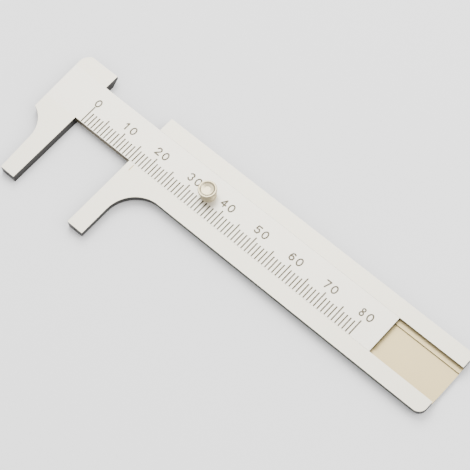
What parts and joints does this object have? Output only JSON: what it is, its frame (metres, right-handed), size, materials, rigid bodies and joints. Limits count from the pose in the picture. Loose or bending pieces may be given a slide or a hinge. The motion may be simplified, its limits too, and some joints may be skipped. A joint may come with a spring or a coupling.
{
  "type": "pocket slide caliper",
  "caption": "Small flat sliding caliper: a channel body with a sliding jaw, a graduated bar with a fixed jaw, and a thumb knob that pushes the bar.",
  "frame": {"origin": "centre of the footprint, on the flat back", "axes": "+X along the bar from the fixed jaw to the body's far end, +Y across it away from the jaw tips, +Z out of the graduated face"},
  "size_m": [0.1144, 0.0338, 0.0055],
  "materials": {
    "body_metal": "satin",
    "jaw_metal": "satin",
    "bar_metal": "satin",
    "knob_metal": "satin"
  },
  "bodies": {
    "body": {"slider_body": "body_metal"},
    "bar": {"scale_bar": "bar_metal", "fixed_jaw": "jaw_metal", "thumb_knob": "knob_metal"}
  },
  "joints": [
    {"name": "jaw_slide", "type": "slide", "parent": "body", "child": "bar", "axis": [-1, 0, 0], "range_m": [-0.01708, 0.0629]}
  ]
}
